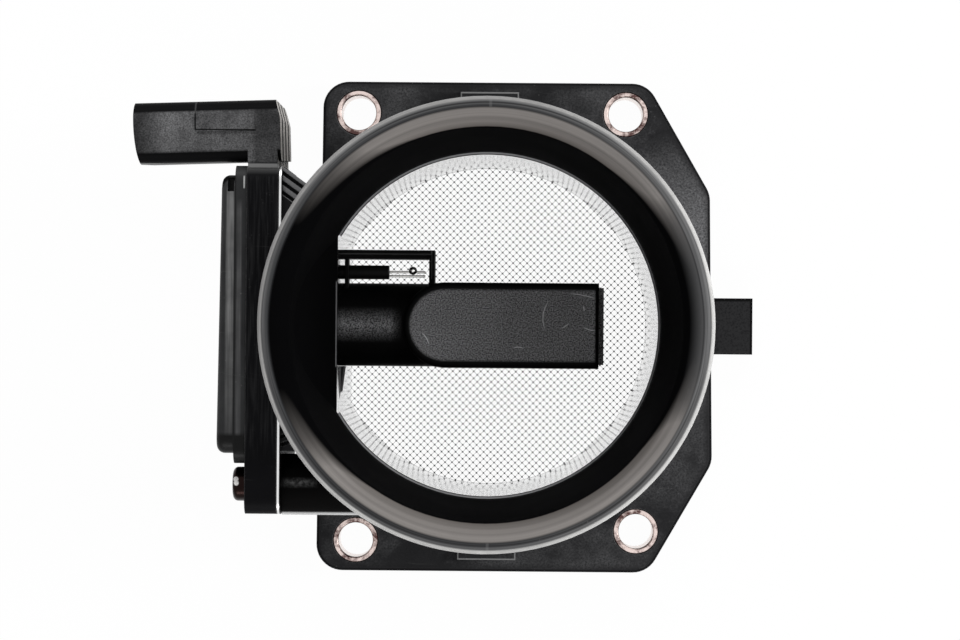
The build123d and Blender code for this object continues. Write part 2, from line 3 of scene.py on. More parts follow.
import bpy
import numpy as np
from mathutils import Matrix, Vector


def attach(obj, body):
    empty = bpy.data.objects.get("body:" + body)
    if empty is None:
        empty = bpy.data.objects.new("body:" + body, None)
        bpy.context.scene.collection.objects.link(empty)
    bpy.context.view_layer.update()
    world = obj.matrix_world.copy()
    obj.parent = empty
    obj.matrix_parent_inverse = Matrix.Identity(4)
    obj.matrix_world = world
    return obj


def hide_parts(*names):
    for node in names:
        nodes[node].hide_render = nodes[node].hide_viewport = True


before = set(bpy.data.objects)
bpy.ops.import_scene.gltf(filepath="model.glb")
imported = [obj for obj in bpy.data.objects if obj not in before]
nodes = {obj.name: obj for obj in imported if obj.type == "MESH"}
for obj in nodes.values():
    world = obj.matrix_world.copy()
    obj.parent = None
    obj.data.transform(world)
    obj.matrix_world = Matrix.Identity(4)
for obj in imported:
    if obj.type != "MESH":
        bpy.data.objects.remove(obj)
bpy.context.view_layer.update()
mm = 0.001
scene = bpy.context.scene
print("frame loaded:", len(nodes), "nodes")


# Helpers for node trees. A value is a number, a colour or the output of another node.
def link(tree, source, target):
    tree.links.new(source, target)


# Gives a node's inputs, by name or number, their values, and hands the node back
def fill(tree, node, inputs):
    for name, value in inputs.items():
        if isinstance(value, (int, float, tuple)):
            node.inputs[name].default_value = value
        else:
            link(tree, value, node.inputs[name])
    return node


# The outputs of a new node of one kind
def newNode(tree, kind, inputs):
    return fill(tree, tree.nodes.new("ShaderNode" + kind), inputs).outputs


# operation(a, b), held between 0 and 1 when clamped
def mathNode(tree, operation, a, b=None, clamp=False):
    node = tree.nodes.new("ShaderNodeMath")
    node.operation = operation
    node.use_clamp = clamp
    return fill(tree, node, {0: a} if b is None else {0: a, 1: b}).outputs[0]


# The outputs of operation(inputs) on vectors
def vectorNode(tree, operation, inputs):
    node = tree.nodes.new("ShaderNodeVectorMath")
    node.operation = operation
    return fill(tree, node, inputs).outputs


# One operation carried through the values from the left
def chain(tree, operation, values):
    total, *others = values
    for value in others:
        total = mathNode(tree, operation, total, value)
    return total


# The product of the values
def times(tree, *values):
    return chain(tree, "MULTIPLY", values)


# 1 - value
def oneLess(tree, value):
    return mathNode(tree, "SUBTRACT", 1.0, value)


# sqrt(a^2 + b^2)
def hypotenuse(tree, a, b):
    return mathNode(tree, "SQRT", mathNode(tree, "ADD", times(tree, a, a), times(tree, b, b)))


# toLow + (toHigh - toLow) (value - low) / (high - low), held between the two levels
def rangeNode(tree, value, low, high, toLow=0.0, toHigh=1.0):
    limits = {"Value": value, "From Min": low, "From Max": high, "To Min": toLow, "To Max": toHigh}
    return newNode(tree, "MapRange", limits)["Result"]


# The same for a length, whose limits are in mm
def ramp(tree, value, low, high, toLow=0.0, toHigh=1.0):
    return rangeNode(tree, value, low * mm, high * mm, toLow, toHigh)


# 1 where a length lies between two limits, falling off over the soft width outside them, in mm
def band(tree, value, low, high, soft):
    return times(tree, ramp(tree, value, low - soft, low), ramp(tree, value, high + soft, high))


# The product of a zone's limits. (place, from, to) is a ramp from 0 to 1, two numbers more are its own
# levels, and (place, low, high, soft) is a band.
def within(tree, at, zone):
    return times(tree, *[(band if len(limits) == 3 else ramp)(tree, at[place], *limits) for place, *limits in zone])


# The masks of all zones of a material, by name
def zoneMasks(tree, at, zones):
    return {name: within(tree, at, zone) for name, zone in zones.items()}


# Noise between 0 and 1 at a place
def noiseNode(tree, vector, scale, detail=3.0, rough=0.5):
    return newNode(tree, "TexNoise", {"Vector": vector, "Scale": scale, "Detail": detail, "Roughness": rough})["Fac"]


# A texture is noise over the object's own coordinates (scale, detail, roughness), spread over a range
def patchy(tree, texture):
    noise, levels = texture
    return rangeNode(tree, noiseNode(tree, objectPlace(tree), *noise), *levels)


# (1 - share) first + share second
def mixColour(tree, share, first, second):
    node = tree.nodes.new("ShaderNodeMix")
    node.data_type = "RGBA"
    return fill(tree, node, {"Factor": share, 6: first, 7: second}).outputs[2]


# The tone laid over the colour, as strongly as the product of the masks
def lay(tree, colour, tone, *masks):
    return mixColour(tree, times(tree, *masks), colour, tone)


# A shade of grey
def grey(level):
    return (level, level, level, 1)


# The object's own coordinates
def objectPlace(tree):
    return newNode(tree, "TexCoord", {})["Object"]


# The parts x, y and z of the surface's normal
def normalParts(tree):
    return newNode(tree, "SeparateXYZ", {0: newNode(tree, "NewGeometry", {})["Normal"]})


# The place x, y, z in the object's own coordinates, |y|, and the distance r from the bore's axis
def axisPlace(tree):
    x, y, z = newNode(tree, "SeparateXYZ", {0: objectPlace(tree)})
    across = newNode(tree, "CombineXYZ", {0: x, 1: y})[0]
    r = vectorNode(tree, "LENGTH", {0: across})["Value"]
    return {"x": x, "y": y, "z": z, "absY": mathNode(tree, "ABSOLUTE", y), "r": r}


# Distance in the XY plane to a point in mm
def flatDistance(tree, at, point):
    dx = mathNode(tree, "SUBTRACT", at["x"], point[0] * mm)
    dy = mathNode(tree, "SUBTRACT", at["y"], point[1] * mm)
    return hypotenuse(tree, dx, dy)


# Noise that runs round the axis: it changes with fine times r and z, and hardly with the angle
def turnedStreaks(tree, at, fine, around):
    place = {0: times(tree, at["r"], fine), 1: times(tree, at["z"], fine), 2: times(tree, at["y"], around)}
    return noiseNode(tree, newNode(tree, "CombineXYZ", place)[0], 1.0, 3.0, 0.6)


# Noise drawn out along the axes that have the small scales
def drawnStreaks(tree, scales):
    return noiseNode(tree, vectorNode(tree, "MULTIPLY", {0: objectPlace(tree), 1: scales})[0], 1.0, 2.0, 0.6)


# The shader's normal: a height of so many mm over the normal of the rounded edges, or over the plain one
def addBump(tree, shader, height, depth, edge=None):
    inputs = {"Distance": depth * mm, "Height": height}
    if edge is not None:
        inputs["Normal"] = edge["Normal"]
    link(tree, newNode(tree, "Bump", inputs)["Normal"], shader.inputs["Normal"])


# A material whose shader has some constants set
def newMaterial(name, **constants):
    material = bpy.data.materials.new(name)
    material.use_nodes = True
    shader = material.node_tree.nodes["Principled BSDF"]
    for label, value in constants.items():
        shader.inputs[label.replace("_", " ")].default_value = value
    return material, material.node_tree, shader


# The camera looks down the bore from 480 mm above the hose mouth. Place in mm, tilt in degrees.
view = {
    "place": (2.52, -1.28, 564.0),
    "tilt": (0.26, 0.43, 0.45),
    "lens": 100.8,
    "sensor": 36.0,
    "clipEnd": 50,
}
# Studio: a pale floor under the flange, an even white room and three soft lamps, in m
studio = {
    "floorHalf": 5.0,
    "floorDrop": 0.0003,         # under the flange
    "floorColour": (0.86, 0.86, 0.87, 1),
    "floorRough": 0.9,
    "floorGlow": 0.97,           # share of plain white that the camera and gloss see on the floor
    "roomLevel": 0.42,           # light of the room on the object
    "aim": (0, 0, 0.04),
    "lamps": (
        # name, place, size, watts
        ("rightLamp", (1.25, 0.1, 0.75), (0.3, 0.9), 13.0),
        ("farLamp", (0.1, 1.25, 0.7), (1.3, 0.22), 12.0),
        ("nearLamp", (0.1, -1.25, 0.7), (1.3, 0.22), 10.0),
    ),
}


# A camera at the view's place that looks straight down, but for its tilt
def addCamera():
    data = bpy.data.cameras.new("camera")
    data.sensor_width = view["sensor"]
    data.lens = view["lens"]
    data.clip_end = view["clipEnd"]
    eye = bpy.data.objects.new("camera", data)
    eye.location = [v * mm for v in view["place"]]
    eye.rotation_euler = [math.radians(v) for v in view["tilt"]]
    scene.collection.objects.link(eye)
    scene.camera = eye


# 1 for the rays of the camera, gloss and glass that see a backdrop, 0 for the light on things
def seenRays(tree):
    rays = newNode(tree, "LightPath", {})
    return chain(tree, "MAXIMUM", [rays[name] for name in ("Is Camera Ray", "Is Glossy Ray", "Is Transmission Ray")])


# A square plane: matt for the light, floorGlow of it white for the seen rays, and open from below
def addFloor():
    half, low = studio["floorHalf"], -studio["floorDrop"]
    mesh = bpy.data.meshes.new("floor")
    corners = [(-half, -half, low), (half, -half, low), (half, half, low), (-half, half, low)]
    mesh.from_pydata(corners, [], [(0, 1, 2, 3)])
    floor = bpy.data.objects.new("floor", mesh)
    scene.collection.objects.link(floor)
    material, tree, shader = newMaterial(
        "paleFloor", Base_Color=studio["floorColour"], Roughness=studio["floorRough"],
    )
    share = times(tree, seenRays(tree), studio["floorGlow"])
    glow = newNode(tree, "Emission", {})[0]
    lit = newNode(tree, "MixShader", {0: share, 1: shader.outputs[0], 2: glow})[0]
    below = newNode(tree, "NewGeometry", {})["Backfacing"]
    clear = newNode(tree, "BsdfTransparent", {})[0]
    whole = newNode(tree, "MixShader", {0: below, 1: lit, 2: clear})[0]
    link(tree, whole, tree.nodes["Material Output"].inputs["Surface"])
    mesh.materials.append(material)


# White all round, at full level for the seen rays and at roomLevel for the light on things
def addRoom():
    world = bpy.data.worlds.new("room")
    world.use_nodes = True
    scene.world = world
    tree = world.node_tree
    level = rangeNode(tree, seenRays(tree), 0.0, 1.0, studio["roomLevel"], 1.0)
    fill(tree, tree.nodes["Background"], {"Color": grey(1.0), "Strength": level})


# Area lamps turned towards the aim
def addLamps():
    aim = Vector(studio["aim"])
    for name, place, size, watts in studio["lamps"]:
        data = bpy.data.lights.new(name, "AREA")
        data.shape = "RECTANGLE"
        data.size, data.size_y = size
        data.energy = watts
        lamp = bpy.data.objects.new(name, data)
        lamp.location = place
        lamp.rotation_euler = (aim - Vector(place)).to_track_quat("-Z", "Y").to_euler()
        scene.collection.objects.link(lamp)


addCamera()
addFloor()
addRoom()
addLamps()
scene.view_settings.view_transform = "Standard"
print("studio and camera ready")


# What the shared groups are made of
shared = {
    "fineGrain": (2.0, 0.6),         # detail and roughness
    "broadGrain": (2.0, 0.5),
    "broadScale": 0.22,              # beside the fine grain's
    "patches": ((55.0, 4.0, 0.6), (0.3, 0.7)),
    "edgeRadius": 0.35,              # mm
    "edgeSamples": 4,
    "edgeSpots": ((420.0, 3.0, 0.6), (0.35, 0.65)),
    "bendScale": 70.0,
    "bendReach": 0.006,              # m
    "scratchLines": ((28.0, (55, 2600, 55)), (-47.0, (70, 2300, 70)), (81.0, (40, 3000, 40))),   # degrees, stretch
    "scratchNoise": (1.0, 1.0, 0.4),
    "scratchCrest": (0.74, 0.8),
    "dustDot": (0.16, 0.1),
    "dustPlaces": ((160.0, 3.0, 0.6), (0.52, 0.66)),
}


# A node group with named inputs (name, start value) and outputs (name, kind), and its inner sockets
def newGroup(name, inputs, outputs):
    group = bpy.data.node_groups.new(name, "ShaderNodeTree")
    for label, start in inputs.items():
        socket = group.interface.new_socket(name=label, in_out="INPUT", socket_type="NodeSocketFloat")
        socket.default_value = start
    for label, kind in outputs.items():
        group.interface.new_socket(name=label, in_out="OUTPUT", socket_type="NodeSocket" + kind)
    return group, group.nodes.new("NodeGroupInput").outputs, group.nodes.new("NodeGroupOutput").inputs


# Fine moulded grain: fine noise + Coarse times broad noise for a bump's height, and slow patches for colour and gloss
def makeGrainGroup():
    outputs = {"Height": "Float", "Patches": "Float"}
    group, start, end = newGroup("mouldGrain", {"Scale": 3000.0, "Coarse": 0.35}, outputs)
    place = objectPlace(group)
    fine = noiseNode(group, place, start["Scale"], *shared["fineGrain"])
    broad = noiseNode(group, place, times(group, start["Scale"], shared["broadScale"]), *shared["broadGrain"])
    link(group, mathNode(group, "ADD", fine, times(group, broad, start["Coarse"])), end["Height"])
    link(group, patchy(group, shared["patches"]), end["Patches"])
    return group


# Wear and painted highlight on outer edges: Strength (1 - rounded normal . flat normal), of which spots take off the
# share Breakup
def makeEdgeGroup():
    group, start, end = newGroup("edgeWearHighlight", {"Breakup": 0.5, "Strength": 4.0}, {"Mask": "Float", "Normal": "Vector"})
    bevel = group.nodes.new("ShaderNodeBevel")
    bevel.samples = shared["edgeSamples"]
    rounded = fill(group, bevel, {"Radius": shared["edgeRadius"] * mm}).outputs[0]
    flat = newNode(group, "NewGeometry", {})["Normal"]
    away = oneLess(group, vectorNode(group, "DOT_PRODUCT", {0: rounded, 1: flat})["Value"])
    left = oneLess(group, times(group, patchy(group, shared["edgeSpots"]), start["Breakup"]))
    wearHighlight = mathNode(group, "MULTIPLY", times(group, away, start["Strength"]), left, clamp=True)
    link(group, wearHighlight, end["Mask"])
    link(group, rounded, end["Normal"])
    return group


# Hair scratches: noise drawn out into long thin bent lines in three directions, of which only the crests are kept
def makeScratchGroup():
    group, start, end = newGroup("hairScratches", {"Amount": 0.5}, {"Mask": "Float"})
    place = objectPlace(group)
    bend = newNode(group, "TexNoise", {"Vector": place, "Scale": shared["bendScale"]})["Color"]
    shift = vectorNode(group, "SCALE", {0: bend, "Scale": shared["bendReach"]})[0]
    bent = vectorNode(group, "ADD", {0: place, 1: shift})[0]
    crests = []
    for turn, stretch in shared["scratchLines"]:
        mapping = {"Vector": bent, "Rotation": (0, 0, math.radians(turn)), "Scale": stretch}
        lines = noiseNode(group, newNode(group, "Mapping", mapping)[0], *shared["scratchNoise"])
        crests.append(rangeNode(group, lines, *shared["scratchCrest"]))
    link(group, times(group, chain(group, "MAXIMUM", crests), start["Amount"]), end["Mask"])
    return group


# Dust and lint: dots in the middle of cells, kept where slow noise is high, times Amount
def makeDustGroup():
    group, start, end = newGroup("dustSpecks", {"Scale": 900.0, "Amount": 0.4}, {"Mask": "Float"})
    cells = newNode(group, "TexVoronoi", {"Vector": objectPlace(group), "Scale": start["Scale"]})
    dots = rangeNode(group, cells["Distance"], *shared["dustDot"])
    link(group, times(group, dots, patchy(group, shared["dustPlaces"]), start["Amount"]), end["Mask"])
    return group


# 1 on surfaces that look up along the bore, falling off as the normal's Z goes from High to Low
def makeUpGroup():
    group, start, end = newGroup("facingUp", {"Low": 0.9, "High": 0.99}, {"Mask": "Float"})
    node = group.nodes.new("ShaderNodeMapRange")
    node.interpolation_type = "SMOOTHSTEP"
    limits = {"Value": normalParts(group)[2], "From Min": start["Low"], "From Max": start["High"]}
    link(group, fill(group, node, limits).outputs["Result"], end["Mask"])
    return group


# 1 on walls that stand along the bore, where the size of the normal's Z is under Limit
def makeWallGroup():
    group, start, end = newGroup("uprightWall", {"Limit": 0.3}, {"Mask": "Float"})
    tilt = mathNode(group, "ABSOLUTE", normalParts(group)[2])
    link(group, mathNode(group, "LESS_THAN", tilt, start["Limit"]), end["Mask"])
    return group


groups = {
    "up": makeUpGroup(),
    "wall": makeWallGroup(),
    "grain": makeGrainGroup(),
    "edge": makeEdgeGroup(),
    "scratch": makeScratchGroup(),
    "dust": makeDustGroup(),
}
print("shader groups ready")


# The outputs of a group placed in a tree with some of its inputs set
def placeGroup(tree, name, **values):
    node = tree.nodes.new("ShaderNodeGroup")
    node.node_tree = groups[name]
    return fill(tree, node, values).outputs


satinBlack = {
    "colour": (0.012, 0.012, 0.013, 1), "patch": (0.02, 0.02, 0.021, 1), "specular": 0.3, "coatRough": 0.1,
    "rough": 0.5, "roughSpread": 0.07, "grainScale": 2600.0, "coarse": 0.5, "grainDepth": 0.02,
    "breakup": 0.6, "edgeWearHighlightStrength": 1.2, "edgeWearHighlightColour": (0.16, 0.16, 0.165, 1),
    "scratches": 0.25, "scratchColour": grey(0.11),
    "dustScale": 900.0, "dust": 0.35, "dustColour": grey(0.2),
}


# Black moulded plastic. Each look says its colours, gloss, grain, edge wear with painted edge highlight, and dust.
def blackPlastic(name, look):
    material, tree, shader = newMaterial(
        name, Specular_IOR_Level=look["specular"], Coat_Roughness=look["coatRough"],
    )
    grain = placeGroup(tree, "grain", Scale=look["grainScale"], Coarse=look["coarse"])
    edge = placeGroup(tree, "edge", Breakup=look["breakup"], Strength=look["edgeWearHighlightStrength"])
    scratch = placeGroup(tree, "scratch", Amount=look["scratches"])
    dust = placeGroup(tree, "dust", Scale=look["dustScale"], Amount=look["dust"])
    colour = mixColour(tree, grain["Patches"], look["colour"], look["patch"])
    colour = lay(tree, colour, look["scratchColour"], scratch["Mask"])
    colour = lay(tree, colour, look["dustColour"], dust["Mask"])
    # Lighter edges: wear, and a painted highlight on the rounded edges
    colour = lay(tree, colour, look["edgeWearHighlightColour"], edge["Mask"])
    middle, spread = look["rough"], look["roughSpread"]
    rough = rangeNode(tree, grain["Patches"], 0, 1, middle - spread, middle + spread)
    addBump(tree, shader, grain["Height"], look["grainDepth"], edge)
    return material, tree, shader, colour, rough


# Hands the colour and the roughness to the shader
def finishPlastic(material, tree, shader, colour, rough):
    fill(tree, shader, {"Base Color": colour, "Roughness": rough})
    return material


# The body. Lengths in mm from the axis and the flange's back.
body = {
    "look": dict(
        satinBlack, specular=0.02, rough=0.6, scratches=0.12, dust=0.25, edgeWearHighlightStrength=1.6, edgeWearHighlightColour=(0.22, 0.22, 0.225, 1),
    ),
    "zones": {
        "roundWall": (("r", 32.2, 33.4, 0.25),),
        "roundTop": (("z", 48.3, 47.8),),            # of the polish on the round wall
        "flatWall": (("x", -28.45, -28.15, 0.05), ("z", 55.6, 55.2), ("absY", 18.3, 18.0)),
        "funnel": (("r", 39.1, 38.7), ("z", 47.4, 47.9)),
        "throatHighlight": (("z", 50.6, 55.0, 0.5),),
        "rootEdgeHighlight": (("x", -28.45, -28.34, 0.05), ("z", 56.0, 56.5), ("absY", 8.2, 7.8)),    # painted highlight on the rounded edge over the arm's root
        "tan": (("z", 82.0, 84.6),),
        "rightGlow": (("x", 16.0, 34.0), ("r", 36.4, 38.6), ("z", 80.0, 80.5), ("r", 39.1, 38.7)),
        "face": (("z", 82.6, 83.4), ("r", 38.9, 39.1)),
        "litRightSide": (("x", 0.0, 38.0),),
        "outerFace": (("r", 39.1, 40.2),),
        "rim": (("z", 82.4, 83.0), ("r", 40.15, 40.45)),
        "seam": (("x", 0.35, 0.65, 0.2),),
        "ribTops": (("pad", -0.2, 4.4, 0.1), ("z", 58.6, 58.8), ("x", -31.0, -33.0), ("z", 59.4, 59.2)),
        "boss": (("y", -36.8, -24.6, 0.1), ("x", -22.0, -22.5), ("z", 46.0, 47.0), ("r", 41.0, 41.2)),
        "glint": (("y", -30.0, -29.8, 1.0), ("x", -36.2, -34.2, 3.0)),
        "flange": (("z", 10.3, 7.3),),
        "outlineX": (("absX", 5.8, 6.05, 0.1),),     # painted highlight along the edges of the pads in the middle of the flange's long edges
        "outlineY": (("absY", 48.05, 48.35, 0.1),),
        "padTop": (("z", 7.6, 8.0), ("z", 9.6, 9.3), ("r", 41.5, 42.0)),
        "tab": (("x", 46.4, 46.8, 0.0, 0.9),),
        "tabEnd": (("x", 54.4, 54.6),),
        "tabSide": (("absY", 5.4, 5.6),),
        "outside": (("r", 36.8, 37.2),),
        "nearBoss": (("y", -38.0, -23.2, 0.2), ("z", 46.0, 47.0), ("x", -22.0, -24.0)),
    },
    "lip": (82.0, 84.2),             # lowest height of the painted reflection band inside the lip and its height where it dies out
    "lipSoft": (0.35, 2.2),          # its soft edge where it is lit and where it isn't
    "lipLight": ((8.0, -8.0, 0.0, 0.15), (-20.0, 30.0, 0.0, 0.22)),     # light that y and x add to |y| / r
    "lipLit": (0.4, 0.98),           # where the light begins and where it is full
    "lipSharp": (0.5, 1.0),          # light at which the soft edge is widest and sharpest
    "lipStreaks": (0.25, 0.7, 0.6, 1.0),
    "lipFade": (0.0, 0.6, 0.35, 1.0),
    "faceStreaks": (0.3, 0.62, 0.3, 1.0),
    "faceFine": (0.38, 0.6, 0.35, 1.15),
    "rimLight": (0.5, 0.7, -0.5, 0.15),          # shares of x and -y in its direction, and its range
    "underside": (-0.86, -0.93),     # Y of the normal under the boss
    "padSlope": (-38.6, 29.6, 0.581, 0.814),     # a point of the pad's slanted end, and the slope's sine and cosine
    "sheen": ((43.0, 10.0), 12.0, 32.0),         # on the flange: middle, reach of the full sheen, where it ends
    "sheenLevels": ((0.3, 1.0), (0.0, 0.7)),     # of its mottle and of its plain part, far and near
    "flangeSides": (                 # outward direction of each straight side and its distance from the axis
        (0.0, 1.0, 50.5), (0.0, -1.0, 50.9), (-1.0, 0.0, 34.9), (1.0, 0.0, 46.2),
        (0.866, 0.5, 53.5), (0.866, -0.5, 54.4),
    ),
    "flangeBorder": (0.6, 1.8, 0.2, 1.0),
    "streaks": (900.0, 25.0),        # scales along the radius and round the axis
    "fineStreaks": (2800.0, 20.0),
    "textures": {
        "wearHighlight": ((60.0, 3.0, 0.6), (0.3, 0.7, 0.65, 1.0)),
        "speckledPatches": ((1300.0, 3.0, 0.75), (0.4, 0.68, 0.15, 1.0)),
        "mottle": ((48.0, 5.0, 0.68), (0.42, 0.66, 0.08, 1.0)),
        "fine": ((2300.0, 3.0, 0.8), (0.34, 0.66, 0.25, 1.6)),
    },
    "tones": {
        "funnel": (0.0012, 0.0012, 0.0014, 1), "throatHighlightGrey": (0.42, 0.42, 0.43, 1), "root": (0.16, 0.16, 0.165, 1),
        "tan": ((0.12, 0.108, 0.1, 1), (0.28, 0.262, 0.25, 1)), "glow": (0.09, 0.09, 0.092, 1),
        "innerFace": ((0.035, 0.036, 0.038, 1), (0.11, 0.11, 0.112, 1)),
        "outerFace": ((0.16, 0.16, 0.162, 1), (0.27, 0.27, 0.272, 1)),
        "rim": ((0.33, 0.325, 0.32, 1), (0.58, 0.575, 0.565, 1)), "seam": grey(0.3), "rib": (0.24, 0.24, 0.245, 1),
        "boss": (0.002, 0.0018, 0.0018, 1), "glint": grey(0.14), "under": grey(0.6),
        "sheen": (0.17, 0.17, 0.175, 1), "side": (0.004, 0.004, 0.0045, 1), "outline": grey(0.25),
        "tab": ((0.004, 0.004, 0.0045, 1), (0.02, 0.02, 0.021, 1)), "tabEdge": grey(0.001),
    },
    "shares": {"glow": 0.6, "seam": 0.12, "rib": 0.8, "under": 0.85, "side": 0.85, "outline": 0.7},
    "boreSmooth": 0.8,               # share of the roughness that the polish takes off
    "funnelRough": 0.35,
    "wallCoat": (0.22, 0.05),        # away from the boss and beside it
}


# The painted reflection inside the lip, a brownish band of light: it begins lower and more sharply where the wall is
# lit. The light is |y| / r plus what y and x add, and the mask is (z - start) / width, broken by the streaks and
# weaker where it is dark.
def lipMask(tree, at, streaks, funnel):
    (highY, lowY, *addY), (lowX, highX, *addX) = body["lipLight"]
    side = mathNode(tree, "DIVIDE", at["absY"], at["r"])
    side = mathNode(tree, "ADD", side, ramp(tree, at["y"], highY, lowY, *addY))
    side = mathNode(tree, "ADD", side, ramp(tree, at["x"], lowX, highX, *addX))
    lit = rangeNode(tree, side, *body["lipLit"])
    (low, high), (steep, slow) = body["lip"], body["lipSoft"]
    start = rangeNode(tree, lit, 0.0, 1.0, high * mm, low * mm)
    width = rangeNode(tree, lit, *body["lipSharp"], slow * mm, steep * mm)
    rise = mathNode(tree, "DIVIDE", mathNode(tree, "SUBTRACT", at["z"], start), width, clamp=True)
    broken = rangeNode(tree, streaks, *body["lipStreaks"])
    return times(tree, rise, funnel, broken, rangeNode(tree, lit, *body["lipFade"]))


# The flange's sheen: mottled and brightest round one point, grained, and dying out towards the straight sides
def flangeSheen(tree, at, textures):
    middle, near, far = body["sheen"]
    away = flatDistance(tree, at, middle)
    bright, plain = (ramp(tree, away, far, near, *levels) for levels in body["sheenLevels"])
    mottle = mathNode(tree, "MAXIMUM", times(tree, textures["mottle"], bright), plain)
    inward = []
    for sideX, sideY, reach in body["flangeSides"]:
        outward = mathNode(tree, "ADD", times(tree, at["x"], sideX), times(tree, at["y"], sideY))
        inward.append(mathNode(tree, "SUBTRACT", reach * mm, outward))
    border = ramp(tree, chain(tree, "MINIMUM", inward), *body["flangeBorder"])
    return times(tree, mottle, textures["fine"], border)


# The body: polished bore, matt funnel, scuffed grey mouth face painted lighter to the right, a painted reflection
# inside the lip, painted sheen on the flange
def bodyMaterial():
    material, tree, shader, colour, rough = blackPlastic("bodyPlastic", body["look"])
    at = axisPlace(tree)
    at["absX"] = mathNode(tree, "ABSOLUTE", at["x"])
    padX, padY, slopeX, slopeY = body["padSlope"]
    at["pad"] = mathNode(
        tree, "SUBTRACT", times(tree, mathNode(tree, "SUBTRACT", padY * mm, at["y"]), slopeY),
        times(tree, mathNode(tree, "SUBTRACT", at["x"], padX * mm), slopeX),
    )
    zone = zoneMasks(tree, at, body["zones"])
    textures = {name: patchy(tree, texture) for name, texture in body["textures"].items()}
    tones, shares = body["tones"], body["shares"]
    colour = lay(tree, colour, tones["funnel"], zone["funnel"])
    # Painted highlight: a grey line round the throat, on the rounded edge where the funnel begins
    colour = lay(tree, colour, tones["throatHighlightGrey"], zone["throatHighlight"], zone["roundWall"])
    # Painted highlight on the rounded top edge of the flat wall over the arm's root
    colour = lay(tree, colour, tones["root"], zone["rootEdgeHighlight"])
    streaks = turnedStreaks(tree, at, *body["streaks"])
    # Painted reflection: a brownish band of light inside the lip
    lipReflection = lipMask(tree, at, streaks, zone["funnel"])
    colour = lay(tree, colour, mixColour(tree, zone["tan"], *tones["tan"]), lipReflection)
    # Painted light on the right of the lip, outside its painted reflection
    colour = lay(tree, colour, tones["glow"], zone["rightGlow"], oneLess(tree, lipReflection), shares["glow"])

    # The mouth face's tones go lighter towards the right as painted light, over its scuffed, turned streaks
    inner, outer = (mixColour(tree, zone["litRightSide"], *tones[name]) for name in ("innerFace", "outerFace"))
    fineStreaks = turnedStreaks(tree, at, *body["fineStreaks"])
    turned = times(
        tree, rangeNode(tree, streaks, *body["faceStreaks"]), rangeNode(tree, fineStreaks, *body["faceFine"]),
    )
    onFace = mathNode(tree, "MULTIPLY", zone["face"], turned, clamp=True)
    colour = lay(tree, colour, mixColour(tree, zone["outerFace"], inner, outer), onFace)
    # Painted highlight along the rim's rounded outer edge, brighter towards the lit side and broken in patches
    shareX, shareY, *rimRange = body["rimLight"]
    slant = mathNode(tree, "SUBTRACT", times(tree, at["x"], shareX), times(tree, at["y"], shareY))
    towards = rangeNode(tree, mathNode(tree, "DIVIDE", slant, at["r"]), *rimRange)
    colour = lay(tree, colour, mixColour(tree, towards, *tones["rim"]), zone["rim"], textures["wearHighlight"])
    colour = lay(tree, colour, tones["seam"], zone["seam"], zone["face"], shares["seam"])

    # Painted highlight on the tops of the ribs on the pad's slanted end
    colour = lay(tree, colour, tones["rib"], zone["ribTops"], shares["rib"])
    colour = lay(tree, colour, tones["boss"], zone["boss"])
    # Painted highlight on the boss's top, broken in speckled patches
    colour = lay(tree, colour, tones["glint"], zone["glint"], textures["speckledPatches"], zone["boss"])
    # Painted highlight: a bright line along the boss's underside edge
    under = rangeNode(tree, normalParts(tree)[1], *body["underside"])
    colour = lay(tree, colour, tones["under"], under, zone["boss"], shares["under"])

    colour = lay(tree, colour, tones["sheen"], flangeSheen(tree, at, textures), zone["flange"])
    # Painted shade on the flange's side faces, which keeps its painted sheen to the top face
    shadedSideFaces = oneLess(tree, placeGroup(tree, "up", Low=0.9, High=0.99)["Mask"])
    colour = lay(tree, colour, tones["side"], shadedSideFaces, zone["flange"], shares["side"])
    # Painted highlight along the edges of the pads on the flange
    outline = mathNode(tree, "MAXIMUM", zone["outlineX"], zone["outlineY"])
    colour = lay(tree, colour, tones["outline"], outline, zone["padTop"], shares["outline"])
    tabTone = mixColour(tree, textures["fine"], *tones["tab"])
    tabTone = lay(tree, tabTone, tones["tabEdge"], mathNode(tree, "MAXIMUM", zone["tabEnd"], zone["tabSide"]))
    colour = lay(tree, colour, tabTone, zone["tab"])

    bore = mathNode(tree, "MAXIMUM", times(tree, zone["roundWall"], zone["roundTop"]), zone["flatWall"])
    wallCoat = rangeNode(tree, zone["nearBoss"], 0.0, 1.0, *body["wallCoat"])
    sheer = times(tree, placeGroup(tree, "wall")["Mask"], zone["outside"], wallCoat)
    link(tree, mathNode(tree, "MAXIMUM", bore, sheer), shader.inputs["Coat Weight"])
    rough = mathNode(tree, "ADD", rough, times(tree, zone["funnel"], body["funnelRough"]))
    smooth = oneLess(tree, times(tree, bore, body["boreSmooth"]))
    return finishPlastic(material, tree, shader, colour, mathNode(tree, "MULTIPLY", rough, smooth, clamp=True))


